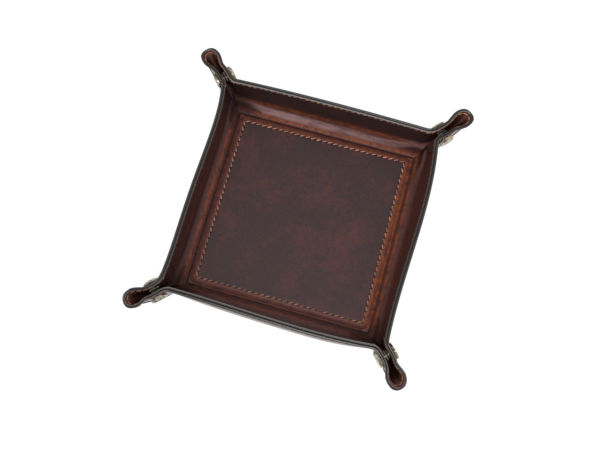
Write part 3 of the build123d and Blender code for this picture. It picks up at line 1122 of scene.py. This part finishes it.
def ear_dye_and_painted_light(column, run, side, end, inside):
    """The wall's dye and painted light fade over the bend into the ear's own."""
    part, share = column
    of_wall = wall_dye_and_painted_light(run, side, end, inside)
    above_foot, over = (2, 6) if part in (FLARE, LOOP) else (8, 12)
    high = eased(run, foot_run + above_foot, over)
    wall = 1 - high * (smooth(share) if part == BEND else 1)
    pull = {BEND: 0, LEG: 0, FLARE: 0.1 * share, LOOP: 0.1 + 0.12 * share}[part] * high
    red = {BEND: 0.25, LEG: 0.25, FLARE: 0.25 + 0.5 * share, LOOP: 0.75}[part]
    # painted shade: dark in the leg, darkest deep in the loop, less near the rim
    lit = 0.75 * eased(run, wall_run - 6, 5.5)
    deep = cavity_shade[wall_corner(side, end)] * (1 - lit)
    in_flare = leg_shade + (deep - leg_shade) * share
    shade = {BEND: 0.35, LEG: leg_shade, FLARE: in_flare, LOOP: deep}[part]
    shade = shade * high + 0.1 * (1 - high)
    at_rim = of_wall[4] if run > wall_run - 1 else 0
    # the wall's painted sheen carries on over the bend
    sheen = 0.5 * of_wall[3] if part == BEND else 0
    of_ear = pull, of_wall[1], red, sheen, max(shade, at_rim), 0.6 * of_wall[5]
    return [wall * first + (1 - wall) * second for first, second in zip(of_wall, of_ear)]


# %% Helper: where an ear turns
bend_from, bend_to, bend_beside, bend_up = 75.65, 78.66, 80.0, 30.0
loop_turn = (1.7, 0.06)


def blend_ear(piece, corner, half, kind):
    """Works out where a leg turns at its bend or a loop before its fold, but only bakes the
    piece.
    """
    quarter = corners.index(corner)
    if kind == "leg":
        points = [(out, bend_beside, bend_up) for out in (bend_from, bend_to)]
        if half == "right":
            points = [(y, x, z) for x, y, z in points]
        points = [(*turned(x, y, quarter), z) for x, y, z in points]
        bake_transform(piece)
        return
    points = []
    for from_fold in loop_turn:
        along = seam_out(snap_up) - from_fold * sin(slope)
        up = snap_up + from_fold * cos(slope)
        points.append((*turned(along / diagonal, along / diagonal, quarter), up))
    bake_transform(piece)


# %% Ears
def ear_side(corner, half):
    """The wall that a half ear belongs to."""
    quarter = corners.index(corner)
    return sides[quarter] if half == "left" else sides[quarter - 1]


def make_ear(corner, half, layer, kind):
    side = ear_side(corner, half)
    columns = leg_columns if kind == "leg" else loop_columns
    end = crease_half if half == "left" else -crease_half

    def place(column, row, face):
        return ear_place(corner, half, layer, columns[column], ear_runs[row], face)

    def dye(column, row, face):
        inside = layer == "inner" and face == 0
        return ear_dye_and_painted_light(columns[column], ear_runs[row], side, end, inside)

    name = f"{layer}_{kind}_{corner}_{side}"
    ear = folded_sheet(name, len(columns), len(ear_runs), place, dye)
    wear(ear, leather_of[layer])
    blend_ear(ear, corner, half, kind)
    if kind == "leg":
        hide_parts(f"ear_leg_{corner}_{side}", f"corner_bends_{side}")
    else:
        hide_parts(f"ear_loop_{corner}_{side}")
    return ear


ears = [
    make_ear(corner, half, layer, kind)
    for corner in corners
    for half in ("left", "right")
    for layer in layers
    for kind in ("leg", "loop")
]
print(len(ears), "ear sheets, the first with", len(ears[0].data.polygons), "faces")

# %% [markdown]
# ## Thread
# A saddle stitch is a short length of waxed thread, thick in the middle and tucked down into
# a hole at each end. A long bevelled curve could be the thread, but only short lengths of it
# show, so one is shaped from a sphere and copied along each line of stitching. Its colour
# varies from stitch to stitch, and painted light makes it darker towards the south side of
# the tray and lighter towards the north.

# %% Waxed thread
thread_material, tree, shader = new_material("thread")
place = node(tree, "ShaderNodeTexCoord").outputs["Object"]
ply = noise(tree, place, 2600, 2, 0.5)
lot = noise(tree, place, 240, 2, 0.5)
waxing = in_range(tree, math_node(tree, "ADD", ply, lot), 0.82, 1.22)
waxed = mix_colour(tree, waxing, (0.15, 0.045, 0.024), (0.66, 0.30, 0.18))
across_tray = node(tree, "ShaderNodeSeparateXYZ")
tree.links.new(place, across_tray.inputs[0])
# painted light: the thread is darker on the south side and lighter on the north
thread_painted_light = in_range(tree, across_tray.outputs["Y"], -0.065, 0.065, 0.72, 1.25)
tree.links.new(scaled_colour(tree, waxed, thread_painted_light), shader.inputs["Base Color"])
bump = node(tree, "ShaderNodeBump", Strength=0.5, Distance=0.0001)
tree.links.new(ply, bump.inputs["Height"])
tree.links.new(bump.outputs["Normal"], shader.inputs["Normal"])
shader.inputs["Roughness"].default_value = 0.5
print("material:", thread_material.name)

# %% One stitch
stitch_length, stitch_width, stitch_rise, stitch_tuck = 4.0, 1.0, 0.8, 0.35

bpy.ops.object.select_all(action="DESELECT")
bpy.ops.mesh.primitive_uv_sphere_add(
    segments=8, ring_count=7, radius=0.5, rotation=(0, pi / 2, 0)
)
bpy.ops.object.transform_apply(location=False, rotation=True, scale=False)
stitch_model = bpy.context.object
for vertex in stitch_model.data.vertices:
    x, y, z = vertex.co
    full = 1
    if abs(x) < 0.49:
        full = (1 - (2 * x) ** 4) ** 0.5 / max((1 - (2 * x) ** 2) ** 0.5, 1e-6)
    tucked = stitch_tuck * (2 * x) ** 4
    vertex.co = (
        x * stitch_length * MM,
        y * full * stitch_width * MM,
        (z * full * stitch_rise - tucked) * MM,
    )
finish_mesh(stitch_model, 60)
print("stitch:", len(stitch_model.data.polygons), "faces")


# %% Helper: a row of stitches
def stitch_row(name, places, slim=1.0):
    """One piece with a copy of the stitch at each place: (point in m, along, outwards)."""
    copies = []
    for point, along, out in places:
        copy = stitch_model.copy()
        copy.data = stitch_model.data.copy()
        bpy.context.scene.collection.objects.link(copy)
        along, out = Vector(along).normalized(), Vector(out).normalized()
        side = out.cross(along).normalized()
        out = along.cross(side)
        turn = Matrix((along, side * slim, out * slim)).transposed().to_4x4()
        copy.data.transform(Matrix.Translation(point) @ turn)
        copies.append(copy)
    bpy.ops.object.select_all(action="DESELECT")
    for copy in copies:
        copy.select_set(True)
    bpy.context.view_layer.objects.active = copies[0]
    bpy.ops.object.join()
    row = bpy.context.object
    row.name = row.data.name = name
    row.data.materials.append(thread_material)
    return row


# %% [markdown]
# ## Stitching of the base
# A square of stitches holds the board in. On top they lie at a slant, as a saddle stitch
# does, and below they lie straight, sunk into the leather so that the tray stands flat. An
# array modifier would repeat a stitch along one line; computed places also turn the corners.

# %% Base stitching
panel_slant, under_sink = 22, 0.55


def square_stitches(up, out, sink, slant):
    """Places round the square; out is 1 for the top and -1 for the underside."""
    places = []
    for quarter in range(4):
        for index in range(stitch_count):
            x = (index + 0.5) * stitch_pitch - stitch_line
            point = Vector((*turned(x, stitch_line, quarter), up - sink * out)) * MM
            along = (*turned(cos(radians(slant)), sin(radians(slant)), quarter), 0)
            places.append((point, along, (0, 0, out)))
    return places


top_stitches = stitch_row("base_stitches", square_stitches(panel_top, 1, 0.0, panel_slant))
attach(top_stitches, "base")
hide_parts("base_stitching")
under_stitches = stitch_row("underside_stitches", square_stitches(0, -1, under_sink, 0))
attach(under_stitches, "base")
print(top_stitches.name, under_stitches.name, 4 * stitch_count, "stitches each")

# %% [markdown]
# ## Stitching round the rim
# The same thread runs 1.5 mm below the rim, through both leathers, so it shows on both faces.
# It has sunk deeper on some sides than on others. Its places come from the sheet's own
# section, so each stitch lies on the leather, also where the wall has bowed.

# %% Helper: places along a wall's rim
rim_slant = radians(13)


def wall_rim_stitches(quarter, depth, out_sign):
    right = soft_bend[corners[quarter]]["left"]
    left = soft_bend[corners[(quarter + 1) % 4]]["right"]
    run = wall_run - rim_stitch_inset
    out, up = profile(run, depth)
    first, last = -wall_end(run, depth, left), wall_end(run, depth, right)
    count = round((last - first) / stitch_pitch)
    upwards = Vector((0, cos(wall_lean), sin(wall_lean)))
    along = Vector((cos(rim_slant), 0, 0)) + upwards * sin(rim_slant)
    normal = Vector((0, sin(wall_lean), -cos(wall_lean))) * out_sign
    turn = Matrix.Rotation(pi / 2 * quarter, 3, "Z")
    places = []
    for index in range(count):
        x = first + (index + 0.5) * (last - first) / count
        point = Vector((x, out + bowed(sides[quarter], x, up), up))
        places.append((turn @ point * MM, turn @ along, turn @ normal))
    return places


# %% Rim stitching
rim_sink = {"north": 0.28, "west": 0.45, "south": 0.3, "east": 0.45}
back_sink, rim_slim, back_slim = 0.3, 0.62, 0.8
for quarter, side in enumerate(sides):
    places = wall_rim_stitches(quarter, rim_sink[side], -1)
    row = stitch_row(f"rim_stitches_{side}", places, rim_slim)
    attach(row, f"wall_{side}")
    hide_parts(f"rim_stitching_{side}")
    places = wall_rim_stitches(quarter, sheet - back_sink, 1)
    row = stitch_row(f"back_stitches_{side}", places, back_slim)
    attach(row, f"wall_{side}")
    print("rim stitches on", side)

# %% [markdown]
# ## Stitching round the ears
# Round an ear the rim is a curve in space. The stitches are laid on a path through one point
# of each column, evenly by its length, and a second path just below shows which way the
# leather faces.

# %% Helper: places along an ear's rim
def ear_rim_point(corner, half, column, depth, inset):
    part, share = column
    soft = soft_bend[corner][half]
    depth = thinned(part, share, depth)
    top = top_level(part, share, depth, soft)
    if part == BEND:
        top -= depth * cos(wall_lean) * (1 - smooth(share))
    height = top - inset
    along, across = ear_section(part, share, depth, height, soft)
    return Vector((*ear_point(corner, half, along, across, column), height)) * MM


def ear_stitches(corner, half, columns, depth, out_sign):
    path, lower = [
        [ear_rim_point(corner, half, column, depth, inset) for column in columns]
        for inset in (rim_stitch_inset, rim_stitch_inset + 1)
    ]
    lengths = [0]
    for first, second in zip(path, path[1:]):
        lengths.append(lengths[-1] + (second - first).length)
    count = max(1, round(lengths[-1] / (stitch_pitch * MM)))
    places = []
    for index in range(count):
        wanted = (index + 0.5) * lengths[-1] / count
        step = next(i for i in range(len(path) - 1) if lengths[i + 1] >= wanted)
        share = (wanted - lengths[step]) / (lengths[step + 1] - lengths[step])
        point = path[step].lerp(path[step + 1], share)
        along = path[min(step + 2, len(path) - 1)] - path[max(step - 1, 0)]
        down = lower[step].lerp(lower[step + 1], share) - point
        normal = along.cross(down).normalized() * out_sign * (1 if half == "left" else -1)
        places.append((point, along, normal))
    return places


# %% Ear stitching
ear_sink, ear_slim = 0.25, 0.75
ear_faces = (("inside", ear_sink, 1), ("back", sheet - ear_sink, -1))
for corner in corners:
    for half in ("left", "right"):
        side = ear_side(corner, half)
        for kind, columns in (("leg", leg_columns), ("loop", loop_columns)):
            for face, depth, out_sign in ear_faces:
                places = ear_stitches(corner, half, columns, depth, out_sign)
                row = stitch_row(f"{face}_stitches_{kind}_{corner}_{side}", places, ear_slim)
                blend_ear(row, corner, half, kind)
print("ear stitches on", len(corners) * 2, "half ears")
bpy.data.objects.remove(stitch_model)

# %% [markdown]
# ## Press studs and board
# The press studs are turned brass. Their solids already have the right shape, so they keep it
# and get a metal with fine turning marks and some tarnish. The studs and sockets, which sit
# inside the ear between the leathers, get a much darker copy of it as painted shade. The board
# is plain bonded fibre.

# %% Brass
brass, tree, shader = new_material("brass")
place = node(tree, "ShaderNodeTexCoord").outputs["Object"]
tarnish = noise(tree, place, 350, 5, 0.65)
scratch = noise(tree, place, 5000, 2, 0.5, (1, 1, 0.2))
brass_colours = (0.42, 0.37, 0.26), (0.07, 0.06, 0.046)
brass_colour = mix_colour(tree, in_range(tree, tarnish, 0.42, 0.62), *brass_colours)
brass_roughness = in_range(tree, math_node(tree, "ADD", tarnish, scratch), 0.7, 1.3, 0.12, 0.36)
tree.links.new(brass_colour, shader.inputs["Base Color"])
tree.links.new(brass_roughness, shader.inputs["Roughness"])
shader.inputs["Metallic"].default_value = 1

# painted shade: a much darker brass for the studs and sockets inside the ear
shaded_brass = brass.copy()
shaded_brass.name = "shaded_brass"
for mix in shaded_brass.node_tree.nodes:
    if mix.bl_idname == "ShaderNodeMix":
        mix.inputs[6].default_value = (0.11, 0.10, 0.08, 1)
        mix.inputs[7].default_value = (0.025, 0.023, 0.02, 1)
print("metals:", brass.name, shaded_brass.name)

# %% Board
board, tree, shader = new_material("board")
place = node(tree, "ShaderNodeTexCoord").outputs["Object"]
fibre = noise(tree, place, 900, 4, 0.7)
fibre_colour = mix_colour(tree, fibre, (0.20, 0.13, 0.08), (0.34, 0.24, 0.15))
tree.links.new(fibre_colour, shader.inputs["Base Color"])
shader.inputs["Roughness"].default_value = 0.9
print("material:", board.name)


# %% Dress the solids that stay
def finish_of(name):
    if name == "stiffener_board":
        return board
    if name.startswith(("snap_stud", "snap_socket")):
        return shaded_brass
    return brass if name.startswith("snap_") else None


kept = {name: piece for name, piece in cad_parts.items() if finish_of(name)}
for name, piece in kept.items():
    piece.data.materials.clear()
    piece.data.materials.append(finish_of(name))
print("solids that stay:", len(kept))

# %% [markdown]
# ## Studio
# A pale floor, a wide soft lamp and an even world. Where only the camera or a reflection
# looks at the floor, a little white is added, so that it reads as white paper and still takes
# the tray's shadow. The world does the same: it is white to look at and softer as a light.

# %% Floor
bpy.ops.object.select_all(action="DESELECT")
bpy.ops.mesh.primitive_plane_add(size=6, location=(0, 0, -0.0002))
floor = bpy.context.object
floor.name = "floor"
paper_glow = 0.74


def seen_or_mirrored(tree):
    """1 for rays from the camera or off a glossy face, 0 for the light itself."""
    path = node(tree, "ShaderNodeLightPath")
    rays = path.outputs["Is Camera Ray"], path.outputs["Is Glossy Ray"]
    return math_node(tree, "MAXIMUM", *rays)


paper, tree, shader = new_material("paper")
shader.inputs["Base Color"].default_value = (0.42, 0.42, 0.42, 1)
shader.inputs["Roughness"].default_value = 0.9
shader.inputs["Specular IOR Level"].default_value = 0.0
glow = math_node(tree, "MULTIPLY", seen_or_mirrored(tree), paper_glow)
tree.links.new(glow, shader.inputs["Emission Strength"])
shader.inputs["Emission Color"].default_value = (1, 1, 1, 1)
floor.data.materials.append(paper)
print("floor of", paper.name)

# %% World and lamp
world_light, world_seen = 0.62, 1.0
world = bpy.data.worlds.new("studio")
bpy.context.scene.world = world
world.use_nodes = True
tree = world.node_tree
sky = tree.nodes["Background"]
strength = in_range(tree, seen_or_mirrored(tree), 0, 1, world_light, world_seen)
tree.links.new(strength, sky.inputs["Strength"])
sky.inputs["Color"].default_value = (1, 1, 1, 1)

bpy.ops.object.light_add(type="AREA", location=(0.12, -0.42, 1.1))
lamp = bpy.context.object
lamp.name = "softbox"
lamp.data.size = 0.6
lamp.data.energy = 6
lamp.rotation_euler = (-lamp.location).to_track_quat("-Z", "Y").to_euler()
bpy.context.scene.view_settings.view_transform = "Standard"
print("studio ready:", world.name, "and", lamp.name)
